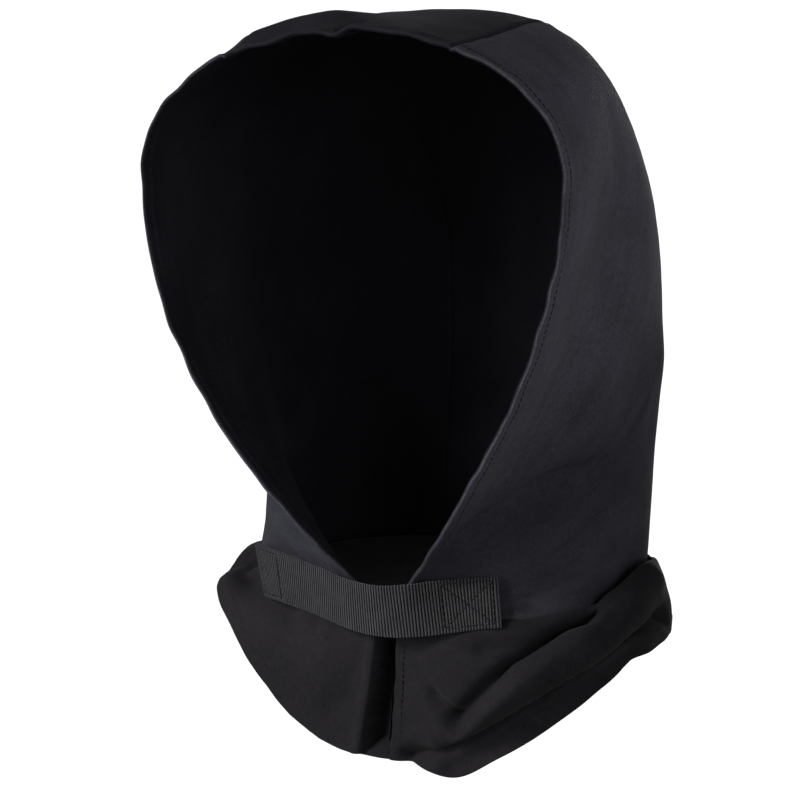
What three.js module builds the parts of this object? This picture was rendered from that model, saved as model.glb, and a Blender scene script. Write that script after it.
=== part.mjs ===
// Sun protection balaclava: a hood of three sewn cloth panels, a neck bib and a throat strap.
// Millimetres, +Z up, -Y is the face side and +X is the wearer's left.
// The origin is the crown point on the inside of the hood.
import * as THREE from 'three';

// Cloth and webbing
const HOOD_WALL = 1.5;
const BIB_WALL = 1.2;
const FACE_HEM = { width: 6.5, wall: 2.4 };
const STRAP = { width: 25, thickness: 1.6, slant: 11, slantFade: 4 };
const SEAM_GAP = 0.4;

// The short edge beside the front centre where all the arches of the hood end
const THROAT = { x: 7, y: -47, z: -282.5, height: 8 };
const TUCK_PEAK = 6.75;

// Hood arches, from the face edge over the crown to the neck seam.
// along: distance from the face edge on the middle line; midY, midZ: where the arch crosses that line
// half: half width; widest: height share of the widest place, from the throat to the middle line
// crown, cheek: roundness above and below the widest place; tuck: bow of the lower arch, back is plus
// gusset: half width of the crown panel
const ARCHES = table('along midY midZ half widest crown cheek tuck gusset', [
  [0, -92, -11, 110.5, 0.75, 2.0, 0.88, -18, 60],
  [42, -50, -5, 108, 0.72, 2.35, 0.85, -19, 60],
  [92, 0, 1.5, 101, 0.67, 2.85, 0.8, -13, 60],
  [175, 70, -32, 101, 0.62, 2.4, 0.73, -5, 55],
  [248, 115, -92, 95.5, 0.58, 2.3, 0.66, 0, 53],
  [320, 120, -167, 95, 0.56, 2.23, 0.6, 0, 51],
  [376, 112, -223, 95, 0.56, 2.1, 0.48, 0, 49],
  [428, 104, -277, 95, 0.57, 1.9, 0.34, 0, 47],
]);

// Bib sections round the neck seam: angle from the front centre over the wearer's left.
// crest: the roll beside the seam; belly: the fullest place; hem: the lower edge, all from the seam
const BIB = table('angle crestOut crestRise bellyOut bellyDrop hemOut hemDrop', [
  [0, 2, 0, 5, 34, 8, 70],
  [15, 1.5, 0, 7, 36, 9, 71],
  [25, 1.5, 0, 12, 35, 11, 74],
  [38, 2, 0, 17, 30, 14.5, 62],
  [50, 4, 0.5, 20.5, 22, 18, 48.5],
  [64, 3.5, 1.2, 21, 14, 19, 34.5],
  [72, 5, 6, 20.5, 11, 18.5, 29],
  [80, 6, 11, 19, 10, 18, 24],
  [90, 6, 15, 16, 12, 16, 22],
  [100, 5, 15, 14, 12, 14, 22.5],
  [110, 4, 12, 13, 11, 13, 25],
  [124, 4.5, 9, 12, 11, 14, 29],
  [145, 5, 5, 14, 12, 17, 38],
  [180, 6, 4, 14, 14, 18, 44],
  [215, 6, 5, 14, 10, 18, 38],
  [240, 8, 9, 18, 2, 21, 27],
  [252, 8, 11, 18, -3, 24, 14],
  [262, 8, 11, 18, -6, 27, -3],
  [270, 8, 10, 18, -7, 28, -4],
  [279, 7, 7, 17, -4, 27, 0.5],
  [286, 6, 3, 17.5, 1, 25.5, 5],
  [296, 4, 0.5, 15.5, 5, 23.5, 13],
  [299, 2, 0, 12, 9, 21, 18],
  [304, 1, 0, 8, 16, 16.5, 27.5],
  [312, 1, 0, 7, 24, 13, 46],
  [322, 1, 0, 7, 29, 11, 57],
  [333, 2, 0, 7, 32, 10, 63],
  [347, 2, 0, 5, 34, 8, 70],
  [360, 2, 0, 5, 34, 8, 70],
]);

// Bib sections are closer together where the cloth is folded, and closest at the pleat
const PLEAT_ZONE = 12;
const BIB_ZONES = [
  { from: -PLEAT_ZONE, to: PLEAT_ZONE, step: 1 },
  { from: PLEAT_ZONE, to: 138, step: 3.5 },
  { from: 138, to: 240, step: 12.75 },
  { from: 240, to: 360 - PLEAT_ZONE, step: 4.5 },
];

// Columns of facets follow the main folds of the bib: share of the way to the hem where they run
const BIB_COLUMNS = { valley: 4, edge: 6, groove: 10, hem: 15 };
const BIB_GUIDES = table('angle valley edge groove', [
  [0, 0.27, 0.4, 0.67],
  [12, 0.42, 0.52, 0.85],
  [19, 0.53, 0.62, 0.86],
  [26, 0.62, 0.69, 0.78],
  [33, 0.48, 0.595, 0.725],
  [40, 0.345, 0.47, 0.69],
  [47, 0.29, 0.41, 0.655],
  [54, 0.24, 0.36, 0.625],
  [60, 0.18, 0.295, 0.613],
  [66, 0.12, 0.22, 0.612],
  [71, 0.13, 0.25, 0.61],
  [82, 0.18, 0.33, 0.69],
  [94, 0.22, 0.38, 0.78],
  [110, 0.27, 0.4, 0.67],
  [360, 0.27, 0.4, 0.67],
]);

// Inverted pleat at the front of the bib: its edges as distances along the seam, and its depth.
// atSeam, atHem: share of the depth at those edges; opens, closes: how fast the rest is reached from them
// roll: the soft swell of cloth beside the right edge
const PLEAT = {
  leftTop: 9, leftHem: 7.5, rightTop: 0, rightHem: -9, wall: 1.6,
  depth: 14, atSeam: 0.3, opens: 2.4, atHem: 0.15, closes: 8,
  roll: { height: 1.6, beside: 2.5, width: 3 },
};

// Folds: lines drawn on the cloth, raised (plus) or sunk (minus), that fade over the width.
// Hood lines run in along and across: 0 middle line, 1 crown seam, 2 throat, minus on the wearer's right.
const HOOD_FOLDS = [
  { name: 'cheek crease', line: [[112, 1.84], [160, 1.75], [228, 1.62]], height: -3.5, width: 7 },
  { name: 'cheek notch', line: [[205, 1.69], [215, 1.67]], height: -3, width: 7 },
  { name: 'jaw ridge', line: [[222, 1.6], [238, 1.5], [256, 1.34]], height: 3, width: 17 },
  { name: 'jaw hollow', line: [[300, 1.62], [310, 1.36]], height: -3.5, width: 22 },
  { name: 'neck fold', line: [[385, 1.71], [340, 1.62], [316, 1.56]], height: -2.5, width: 7 },
  { name: 'seam pucker', line: [[412, 1.52], [370, 1.48]], height: -2.2, width: 6 },
  { name: 'nape pucker', line: [[412, 1.43], [378, 1.4]], height: -2.2, width: 6 },
  { name: 'strap pull', line: [[280, -1.64], [390, -1.69]], height: 18, width: 24 },
  { name: 'brow puff', line: [[32, -1], [35, -0.7], [42, -0.45]], height: 6, width: 17 },
  { name: 'brow sag', line: [[0, -0.62], [16, -0.6]], height: -2, width: 9 },
  { name: 'brow ripple', line: [[0, -0.33], [20, -0.3]], height: -0.8, width: 12 },
  { name: 'brow dip', line: [[0, 0.02], [22, 0.04]], height: -3.4, width: 6.5 },
  { name: 'brow crown', line: [[0, 0.15], [22, 0.17]], height: 1.6, width: 6 },
];

// Bib lines run in angle round the seam and share of the way from the seam to the hem.
const BIB_FOLDS = [
  {
    name: 'roll valley',
    line: [[66, 0.12], [60, 0.18], [54, 0.24], [47, 0.29], [40, 0.345], [33, 0.48], [26, 0.62]],
    height: -8,
    width: 4.5,
  },
  {
    name: 'roll edge',
    line: [[66, 0.22], [57, 0.33], [48, 0.4], [41, 0.46], [34, 0.58], [27, 0.71]],
    height: 4,
    width: 4.5,
  },
  {
    name: 'shoulder roll',
    line: [[92, 0.45], [73, 0.4], [57, 0.46], [43, 0.55], [22, 0.82]],
    height: 4,
    width: 9,
  },
  {
    name: 'hem groove',
    line: [[94, 0.78], [82, 0.69], [71, 0.61], [57, 0.615],
      [43, 0.675], [35, 0.715], [26, 0.77], [11, 0.955]],
    height: -8,
    width: 4.5,
  },
  {
    name: 'hem tuck',
    line: [[76, 0.9], [71, 0.86], [57, 0.83], [43, 0.86], [35, 0.88], [25, 0.91]],
    height: -6,
    width: 8,
  },
  { name: 'seam tuck', line: [[33, 0.2], [46, 0.21], [62, 0.18]], height: -2.2, width: 4 },
  { name: 'front dent', line: [[19, 0.5], [22.5, 0.54], [25.5, 0.6]], height: -5, width: 4 },
  {
    name: 'strap valley',
    line: [[288, 0.35], [298, 0.38], [309, 0.36], [321, 0.31], [335, 0.25]],
    height: -4,
    width: 5.5,
  },
  { name: 'strap seat', line: [[298, 0.22], [306, 0.2], [314, 0.2], [322, 0.2]], height: -4, width: 6 },
  { name: 'pleat shadow', line: [[350, 0.5], [342, 0.8]], height: -2, width: 8 },
];

// Strap sections from the wearer's right end to the left one; lean tips the top edge back
const STRAP_PATH = table('x y z lean', [
  [-82, -36.6, -272.4, 2],
  [-70, -42.4, -272.8, 2],
  [-58, -46.4, -273.4, 0],
  [-37, -51.5, -275.5, -4],
  [-10, -59, -278.5, -6],
  [9, -61, -278.4, -4],
  [22, -57.2, -277, 4],
  [31, -50.5, -276, 18],
  [41, -43.5, -275, 29],
  [56, -35.5, -273.5, 34],
]);

const CLOTH = { color: 0x24242a, roughness: 0.85, metalness: 0 };
const BIB_CLOTH = { color: 0x252325, roughness: 0.9, metalness: 0 };
const WEBBING = { color: 0x2e2c2f, roughness: 0.75, metalness: 0 };

// Rows of a table become objects with named columns; the first column is the key
function table(columns, rows) {
  const names = columns.split(' ');
  return rows.map((row) => Object.fromEntries(names.map((name, i) => [name, row[i]])));
}

// Smooth cubic through a column of a table
function column(rows, key, name, at) {
  const last = rows.length - 1;
  const x = THREE.MathUtils.clamp(at, rows[0][key], rows[last][key]);
  let i = 0;
  while (i < last - 1 && x > rows[i + 1][key]) i += 1;
  const slope = (k) => (rows[k + 1][name] - rows[k][name]) / (rows[k + 1][key] - rows[k][key]);
  const tangent = (k) => {
    if (k === 0) return slope(0);
    if (k === last) return slope(last - 1);
    const before = rows[k][key] - rows[k - 1][key];
    const after = rows[k + 1][key] - rows[k][key];
    return (slope(k - 1) * after + slope(k) * before) / (before + after);
  };
  const span = rows[i + 1][key] - rows[i][key];
  const t = (x - rows[i][key]) / span;
  const rest = 1 - t;
  return rows[i][name] * (1 + 2 * t) * rest * rest
    + tangent(i) * span * t * rest * rest
    + rows[i + 1][name] * t * t * (3 - 2 * t)
    - tangent(i + 1) * span * t * t * rest;
}

// All the columns of a table at one key
function section(rows, at) {
  const key = Object.keys(rows[0])[0];
  return Object.fromEntries(Object.keys(rows[0]).map((name) => [name, column(rows, key, name, at)]));
}

// A polyline with its running length
function measured(points) {
  const lengths = [0];
  for (let i = 1; i < points.length; i += 1) {
    lengths.push(lengths[i - 1] + points[i].distanceTo(points[i - 1]));
  }
  return { points, lengths, total: lengths[lengths.length - 1] };
}

function pointAtLength(curve, at) {
  const { points, lengths } = curve;
  let low = 0;
  let high = points.length - 1;
  while (high - low > 1) {
    const middle = (low + high) >> 1;
    if (lengths[middle] <= at) low = middle;
    else high = middle;
  }
  const share = (at - lengths[low]) / (lengths[high] - lengths[low]);
  return points[low].clone().lerp(points[high], share);
}

function remember(make) {
  const kept = new Map();
  return (key) => {
    if (!kept.has(key)) kept.set(key, make(key));
    return kept.get(key);
  };
}

// Left half of one arch, from the middle line down to the throat
const ARCH_STEPS = 60;
const NECK_SEAM = ARCHES[ARCHES.length - 1].along;
const arch = remember((along) => {
  const a = section(ARCHES, along);
  const footZ = THROAT.z + THROAT.height * (1 - along / NECK_SEAM);
  const points = [];
  const add = (x, q) => points.push(new THREE.Vector3(
    x,
    THROAT.y + q * (a.midY - THROAT.y) + a.tuck * TUCK_PEAK * q * (1 - q) ** 2,
    footZ + q * (a.midZ - footZ),
  ));
  for (let i = 0; i <= ARCH_STEPS; i += 1) {
    const turn = (Math.PI / 2) * (1 - i / ARCH_STEPS);
    const across = Math.max(Math.cos(turn), 0) ** (2 / a.crown);
    add(a.half * across, a.widest + (1 - a.widest) * Math.sin(turn) ** (2 / a.crown));
  }
  for (let i = ARCH_STEPS - 1; i >= 0; i -= 1) {
    const rise = i / ARCH_STEPS;
    add(THROAT.x + (a.half - THROAT.x) * Math.sin((Math.PI / 2) * rise) ** a.cheek, a.widest * rise);
  }
  return { ...measured(points), gusset: a.gusset };
});

// The smooth hood before folding
function hoodBase(along, across) {
  const curve = arch(THREE.MathUtils.clamp(along, 0, NECK_SEAM));
  const side = Math.min(Math.abs(across), 2);
  const reach = side <= 1 ? side * curve.gusset : curve.gusset + (side - 1) * (curve.total - curve.gusset);
  const point = pointAtLength(curve, reach);
  if (across < 0) point.x = -point.x;
  return point;
}

// Outward normal of a surface by small differences
function normalOf(surface, u, v, du, dv) {
  const alongU = surface(u + du, v).sub(surface(u - du, v));
  const alongV = surface(u, v + dv).sub(surface(u, v - dv));
  return alongV.cross(alongU).normalize();
}

// How far the folds lift a place on the cloth
function foldLines(folds, base) {
  const STEPS = 6;
  return folds.map((fold) => {
    const points = [base(...fold.line[0])];
    for (let i = 1; i < fold.line.length; i += 1) {
      const [u0, v0] = fold.line[i - 1];
      const [u1, v1] = fold.line[i];
      for (let k = 1; k <= STEPS; k += 1) {
        points.push(base(u0 + ((u1 - u0) * k) / STEPS, v0 + ((v1 - v0) * k) / STEPS));
      }
    }
    const pieces = points.slice(1).map((end, i) => new THREE.Line3(points[i], end));
    return { ...fold, pieces };
  });
}

const nearest = new THREE.Vector3();
function foldHeight(lines, place) {
  let height = 0;
  for (const fold of lines) {
    const distanceTo = (line) => line.closestPointToPoint(place, true, nearest).distanceTo(place);
    const distance = Math.min(...fold.pieces.map(distanceTo));
    height += fold.height * Math.exp(-((distance / fold.width) ** 2));
  }
  return height;
}

const hoodLines = foldLines(HOOD_FOLDS, hoodBase);
const HOOD_STEP = { along: 1.5, across: 0.02 };
function hoodPoint(along, across) {
  const place = hoodBase(along, across);
  const lift = foldHeight(hoodLines, place);
  return place.addScaledVector(normalOf(hoodBase, along, across, HOOD_STEP.along, HOOD_STEP.across), lift);
}

// Neck seam as a closed ring from the front centre over the wearer's left, with level outward directions.
// REACH: steps each way that give the direction of the seam; its smoothing takes out the corners
const RING_STEPS = 720;
const RING_SMOOTHING = 40;
function neckRing() {
  const SEAM_STEPS = 160;
  const loop = [new THREE.Vector3(0, THROAT.y - 1, THROAT.z)];
  for (let i = SEAM_STEPS; i >= -SEAM_STEPS; i -= 1) {
    loop.push(hoodPoint(NECK_SEAM, (2 * i) / SEAM_STEPS));
  }
  loop.push(loop[0].clone());
  const curve = measured(loop);
  const points = [];
  for (let i = 0; i < RING_STEPS; i += 1) {
    points.push(pointAtLength(curve, (curve.total * i) / RING_STEPS));
  }
  const REACH = 9;
  const at = (list, i) => list[(i + RING_STEPS) % RING_STEPS];
  let outward = points.map((_, i) => {
    const run = at(points, i + REACH).clone().sub(at(points, i - REACH));
    return new THREE.Vector3(run.y, -run.x, 0).normalize();
  });
  for (let pass = 0; pass < RING_SMOOTHING; pass += 1) {
    const before = outward;
    outward = before.map((v, i) => v.clone().multiplyScalar(2).add(at(before, i - 1)).add(at(before, i + 1)));
    outward.forEach((v) => v.normalize());
  }
  return { points, outward, total: curve.total };
}

const ring = neckRing();
function onRing(list, angle) {
  const place = (THREE.MathUtils.euclideanModulo(angle, 360) / 360) * RING_STEPS;
  const low = Math.floor(place) % RING_STEPS;
  return list[low].clone().lerp(list[(low + 1) % RING_STEPS], place - Math.floor(place));
}

// One section of the bib as distances outward and down from the seam
const SECTION_STEPS = 40;
const bibSection = remember((angle) => {
  const s = section(BIB, THREE.MathUtils.euclideanModulo(angle, 360));
  const corners = [
    { out: SEAM_GAP, drop: SEAM_GAP },
    { out: s.crestOut, drop: SEAM_GAP - s.crestRise },
    { out: s.bellyOut, drop: s.bellyDrop },
    { out: s.hemOut, drop: s.hemDrop },
  ];
  const keyed = [];
  corners.forEach((corner, i) => {
    const before = corners[i - 1];
    const step = before ? Math.sqrt(Math.hypot(corner.out - before.out, corner.drop - before.drop)) : 0;
    keyed.push({ key: (before ? keyed[i - 1].key : 0) + step, ...corner });
  });
  const end = keyed[keyed.length - 1].key;
  const points = [];
  for (let i = 0; i <= SECTION_STEPS; i += 1) {
    const at = section(keyed, (end * i) / SECTION_STEPS);
    points.push(new THREE.Vector3(at.out, 0, -at.drop));
  }
  return measured(points);
});

function bibBase(angle, share) {
  const curve = bibSection(angle);
  const offset = pointAtLength(curve, THREE.MathUtils.clamp(share, 0, 1) * curve.total);
  const place = onRing(ring.points, angle);
  place.addScaledVector(onRing(ring.outward, angle).normalize(), offset.x);
  place.z += offset.z;
  return place;
}

// Edges of the pleat as distances along the seam
function pleatEdges(share) {
  const { lerp } = THREE.MathUtils;
  return {
    left: lerp(PLEAT.leftTop, PLEAT.leftHem, share),
    right: lerp(PLEAT.rightTop, PLEAT.rightHem, share),
  };
}

// Depth of the inverted pleat, shallow at the seam and closed again at the hem
function pleatHeight(angle, share) {
  const { smoothstep } = THREE.MathUtils;
  const turned = angle > 180 ? angle - 360 : angle;
  const run = (turned / 360) * ring.total;
  const { left, right } = pleatEdges(share);
  const inside = smoothstep(run, right, right + PLEAT.wall) * smoothstep(-run, -left, PLEAT.wall - left);
  const deep = Math.min(1, PLEAT.atSeam + PLEAT.opens * share, PLEAT.atHem + PLEAT.closes * (1 - share));
  const { height, beside, width } = PLEAT.roll;
  const swell = height * Math.exp(-(((run - right + beside) / width) ** 2));
  return swell - PLEAT.depth * inside * deep;
}

const bibLines = foldLines(BIB_FOLDS, bibBase);
const BIB_STEP = { angle: 0.8, share: 0.02 };
const SEAM_HOLD = 0.16;
function bibPoint(angle, share) {
  const place = bibBase(angle, share);
  const free = THREE.MathUtils.smoothstep(share, 0, SEAM_HOLD);
  const lift = foldHeight(bibLines, place) * free + pleatHeight(angle, share);
  return place.addScaledVector(normalOf(bibBase, angle, share, BIB_STEP.angle, BIB_STEP.share), lift);
}

// Closed wall between a grid of outer points and a grid of inner points.
// A ring joins its last row to its first.
function wallGeometry(outer, inner, isRing) {
  const rows = outer.length;
  const columns = outer[0].length;
  const half = rows * columns;
  const positions = [...outer.flat(), ...inner.flat()].flatMap((p) => [p.x, p.y, p.z]);
  const index = [];
  const at = (i, j) => (i % rows) * columns + j;
  const rim = (a, b) => index.push(b, a, a + half, b, a + half, b + half);
  const lastRow = isRing ? rows : rows - 1;
  for (let i = 0; i < lastRow; i += 1) {
    for (let j = 0; j < columns - 1; j += 1) {
      const [a, b, c, d] = [at(i, j), at(i, j + 1), at(i + 1, j), at(i + 1, j + 1)];
      index.push(a, b, c, b, d, c);
      index.push(a + half, c + half, b + half, b + half, c + half, d + half);
    }
    rim(at(i, columns - 1), at(i + 1, columns - 1));
    rim(at(i + 1, 0), at(i, 0));
  }
  for (let j = 0; j < columns - 1 && !isRing; j += 1) {
    rim(at(0, j), at(0, j + 1));
    rim(at(rows - 1, j + 1), at(rows - 1, j));
  }
  const geometry = new THREE.BufferGeometry();
  geometry.setAttribute('position', new THREE.Float32BufferAttribute(positions, 3));
  geometry.setIndex(index);
  geometry.computeVertexNormals();
  return geometry;
}

// Grid of a surface and the same grid moved inward by the wall
function wallGrids(surface, us, vsOf, step, wallOf) {
  const outer = [];
  const inner = [];
  for (const u of us) {
    const vs = vsOf(u);
    const row = vs.map((v) => surface(u, v));
    outer.push(row);
    inner.push(row.map((point, j) => point.clone().addScaledVector(
      normalOf(surface, u, vs[j], step.u, step.v), -wallOf(u, vs[j]))));
  }
  return [outer, inner];
}

function evenly(from, to, count) {
  return Array.from({ length: count + 1 }, (_, i) => from + ((to - from) * i) / count);
}

// Rows of the hood: one on each side of the hem step, then evenly to the neck seam
const HOOD_ROWS = 24;
const hoodRows = [0, FACE_HEM.width, ...evenly(FACE_HEM.width + 1.5, NECK_SEAM, HOOD_ROWS)];
const hoodWall = (along) => (along <= FACE_HEM.width ? FACE_HEM.wall : HOOD_WALL);

function hoodPanel(acrossOf) {
  const step = { u: HOOD_STEP.along, v: HOOD_STEP.across };
  return wallGeometry(...wallGrids(hoodPoint, hoodRows, acrossOf, step, hoodWall), false);
}

function sidePanel(side) {
  const COLUMNS = 19;
  return hoodPanel((along) => {
    const curve = arch(along);
    const seam = 1 + SEAM_GAP / 2 / (curve.total - curve.gusset);
    return side > 0 ? evenly(seam, 2, COLUMNS) : evenly(-2, -seam, COLUMNS);
  });
}

function crownPanel() {
  const COLUMNS = 10;
  return hoodPanel((along) => {
    const seam = 1 - SEAM_GAP / 2 / arch(along).gusset;
    return evenly(-seam, seam, COLUMNS);
  });
}

// A value carried from one list of rising places to another
function carried(value, from, to) {
  const last = from.length - 2;
  let i = 0;
  while (i < last && value > from[i + 1]) i += 1;
  return THREE.MathUtils.mapLinear(value, from[i], from[i + 1], to[i], to[i + 1]);
}

// Bib point for a row and column of facets, which follow the main folds and the edges of the pleat
function bibFacetPoint(angle, column) {
  const { valley, edge, groove, hem } = BIB_COLUMNS;
  const guide = section(BIB_GUIDES, THREE.MathUtils.euclideanModulo(angle, 360));
  const guided = [0, guide.valley, guide.edge, guide.groove, 1];
  const share = carried(column, [0, valley, edge, groove, hem], guided);
  const reach = (PLEAT_ZONE / 360) * ring.total;
  const run = (angle / 360) * ring.total;
  if (Math.abs(run) >= reach) return bibPoint(angle, share);
  const { left, right } = pleatEdges(share);
  const moved = carried(run, [-reach, PLEAT.rightTop, PLEAT.leftTop, reach], [-reach, right, left, reach]);
  return bibPoint((moved / ring.total) * 360, share);
}

function neckBib() {
  const zoneAngles = ({ from, to, step }) => evenly(from, to, Math.round((to - from) / step)).slice(0, -1);
  const angles = BIB_ZONES.flatMap(zoneAngles);
  const step = { u: BIB_STEP.angle, v: BIB_STEP.share * BIB_COLUMNS.hem };
  const columns = evenly(0, BIB_COLUMNS.hem, BIB_COLUMNS.hem);
  return wallGeometry(...wallGrids(bibFacetPoint, angles, () => columns, step, () => BIB_WALL), true);
}

// The strap is a flat band across its width that bows forward of the throat
function strapFrame(x) {
  const SMALL = 0.5;
  const at = section(STRAP_PATH, x);
  const place = (s) => new THREE.Vector3(s.x, s.y, s.z);
  const run = place(section(STRAP_PATH, x + SMALL)).sub(place(section(STRAP_PATH, x - SMALL))).normalize();
  const up = new THREE.Vector3(0, 0, 1).addScaledVector(run, -run.z).normalize();
  const lean = THREE.MathUtils.degToRad(at.lean);
  const width = up.clone().applyAxisAngle(run, -lean);
  return { centre: place(at), width, front: run.clone().cross(width) };
}

function throatStrap() {
  const ROWS = 40;
  const COLUMNS = 2;
  const ends = [STRAP_PATH[0].x, STRAP_PATH[STRAP_PATH.length - 1].x];
  // The wearer's right end is cut on the slant, and the slant dies out along the strap
  const face = (share, depth) => evenly(STRAP.width / 2, -STRAP.width / 2, COLUMNS).map((height) => {
    const slant = STRAP.slant * (0.5 - height / STRAP.width) * (1 - share) ** STRAP.slantFade;
    const { centre, width, front } = strapFrame(THREE.MathUtils.lerp(...ends, share) + slant);
    return centre.addScaledVector(width, height).addScaledVector(front, depth);
  });
  const stations = evenly(0, 1, ROWS);
  const outer = stations.map((share) => face(share, STRAP.thickness / 2));
  const inner = stations.map((share) => face(share, -STRAP.thickness / 2));
  return wallGeometry(outer, inner, false);
}

function piece(name, geometry, look) {
  const mesh = new THREE.Mesh(geometry, new THREE.MeshStandardMaterial(look));
  mesh.name = name;
  return mesh;
}

const balaclava = new THREE.Group();
balaclava.name = 'balaclava';
balaclava.add(
  piece('hood_crown', crownPanel(), CLOTH),
  piece('hood_side_left', sidePanel(1), CLOTH),
  piece('hood_side_right', sidePanel(-1), CLOTH),
  piece('neck_bib', neckBib(), BIB_CLOTH),
  piece('throat_strap', throatStrap(), WEBBING),
);

export default balaclava;
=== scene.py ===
"""Looks of the sun protection balaclava: sewn cloth panels, neck bib, webbing strap, stitches and studio."""
import math

import bpy
import numpy as np
from mathutils import Matrix, Vector


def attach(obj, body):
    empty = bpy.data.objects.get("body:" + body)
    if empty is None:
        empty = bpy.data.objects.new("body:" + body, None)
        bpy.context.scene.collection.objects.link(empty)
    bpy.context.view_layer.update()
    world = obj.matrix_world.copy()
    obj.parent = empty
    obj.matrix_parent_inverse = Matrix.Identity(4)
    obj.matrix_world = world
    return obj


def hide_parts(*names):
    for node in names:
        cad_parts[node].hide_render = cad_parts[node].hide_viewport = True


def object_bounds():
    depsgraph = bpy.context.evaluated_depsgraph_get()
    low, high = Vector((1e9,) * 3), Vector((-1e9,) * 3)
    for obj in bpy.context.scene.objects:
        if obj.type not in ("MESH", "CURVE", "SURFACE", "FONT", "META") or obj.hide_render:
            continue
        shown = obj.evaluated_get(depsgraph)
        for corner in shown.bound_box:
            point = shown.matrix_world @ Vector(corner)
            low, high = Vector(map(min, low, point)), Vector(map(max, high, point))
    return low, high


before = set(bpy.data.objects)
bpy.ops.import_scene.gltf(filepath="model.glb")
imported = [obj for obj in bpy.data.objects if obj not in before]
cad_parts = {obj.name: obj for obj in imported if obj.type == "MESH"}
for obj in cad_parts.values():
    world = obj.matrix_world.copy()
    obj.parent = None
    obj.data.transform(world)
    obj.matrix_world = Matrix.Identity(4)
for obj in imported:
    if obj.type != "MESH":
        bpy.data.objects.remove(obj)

cad_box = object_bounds()

# Sizes in millimetres, in the frame of the part: the same tables as its solids, drawn with a finer mesh
MM = 0.001
HOOD_WALL = 1.5
BIB_WALL = 1.2
FACE_HEM = {"width": 6.5, "wall": 2.4}
STRAP = {"width": 25, "thickness": 1.6, "slant": 11, "slant_fade": 4}
SEAM_GAP = 0.4
SEAM_HOLD = 0.16
THROAT = {"x": 7, "y": -47, "z": -282.5, "height": 8}
TUCK_PEAK = 6.75

# Hood arches: along, mid_y, mid_z, half, widest, crown, cheek, tuck, gusset
ARCHES = np.array([
    [0, -92, -11, 110.5, 0.75, 2.0, 0.88, -18, 60],
    [42, -50, -5, 108, 0.72, 2.35, 0.85, -19, 60],
    [92, 0, 1.5, 101, 0.67, 2.85, 0.8, -13, 60],
    [175, 70, -32, 101, 0.62, 2.4, 0.73, -5, 55],
    [248, 115, -92, 95.5, 0.58, 2.3, 0.66, 0, 53],
    [320, 120, -167, 95, 0.56, 2.23, 0.6, 0, 51],
    [376, 112, -223, 95, 0.56, 2.1, 0.48, 0, 49],
    [428, 104, -277, 95, 0.57, 1.9, 0.34, 0, 47],
])
NECK_SEAM = ARCHES[-1, 0]

# Bib sections: angle, crest_out, crest_rise, belly_out, belly_drop, hem_out, hem_drop
BIB = np.array([
    [0, 2, 0, 5, 34, 8, 70],
    [15, 1.5, 0, 7, 36, 9, 71],
    [25, 1.5, 0, 12, 35, 11, 74],
    [38, 2, 0, 17, 30, 14.5, 62],
    [50, 4, 0.5, 20.5, 22, 18, 48.5],
    [64, 3.5, 1.2, 21, 14, 19, 34.5],
    [72, 5, 6, 20.5, 11, 18.5, 29],
    [80, 6, 11, 19, 10, 18, 24],
    [90, 6, 15, 16, 12, 16, 22],
    [100, 5, 15, 14, 12, 14, 22.5],
    [110, 4, 12, 13, 11, 13, 25],
    [124, 4.5, 9, 12, 11, 14, 29],
    [145, 5, 5, 14, 12, 17, 38],
    [180, 6, 4, 14, 14, 18, 44],
    [215, 6, 5, 14, 10, 18, 38],
    [240, 8, 9, 18, 2, 21, 27],
    [252, 8, 11, 18, -3, 24, 14],
    [262, 8, 11, 18, -6, 27, -3],
    [270, 8, 10, 18, -7, 28, -4],
    [279, 7, 7, 17, -4, 27, 0.5],
    [286, 6, 3, 17.5, 1, 25.5, 5],
    [296, 4, 0.5, 15.5, 5, 23.5, 13],
    [299, 2, 0, 12, 9, 21, 18],
    [304, 1, 0, 8, 16, 16.5, 27.5],
    [312, 1, 0, 7, 24, 13, 46],
    [322, 1, 0, 7, 29, 11, 57],
    [333, 2, 0, 7, 32, 10, 63],
    [347, 2, 0, 5, 34, 8, 70],
    [360, 2, 0, 5, 34, 8, 70],
])

# Inverted pleat of the bib: edges as distances along the seam, depth with its share at the seam and the hem,
# and how fast the rest is reached from them; a soft roll swells beside the right edge
PLEAT = {
    "left_top": 9, "left_hem": 7.5, "right_top": 0, "right_hem": -9, "wall": 1.6,
    "depth": 14, "at_seam": 0.3, "opens": 2.4, "at_hem": 0.15, "closes": 8,
    "roll": 1.6, "roll_beside": 2.5, "roll_width": 3,
}

# Folds: line on the cloth, height (plus raises, minus sinks) and width. Hood lines run in along and across.
HOOD_FOLDS = [
    ([(112, 1.84), (160, 1.75), (228, 1.62)], -3.5, 7),
    ([(205, 1.69), (215, 1.67)], -3, 7),
    ([(222, 1.6), (238, 1.5), (256, 1.34)], 3, 17),
    ([(300, 1.62), (310, 1.36)], -3.5, 22),
    ([(385, 1.71), (340, 1.62), (316, 1.56)], -2.5, 7),
    ([(412, 1.52), (370, 1.48)], -2.2, 6),
    ([(412, 1.43), (378, 1.4)], -2.2, 6),
    ([(280, -1.64), (390, -1.69)], 18, 24),
    ([(32, -1), (35, -0.7), (42, -0.45)], 6, 17),
    ([(0, -0.62), (16, -0.6)], -2, 9),
    ([(0, -0.33), (20, -0.3)], -0.8, 12),
    ([(0, 0.02), (22, 0.04)], -3.4, 6.5),
    ([(0, 0.15), (22, 0.17)], 1.6, 6),
]

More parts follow.
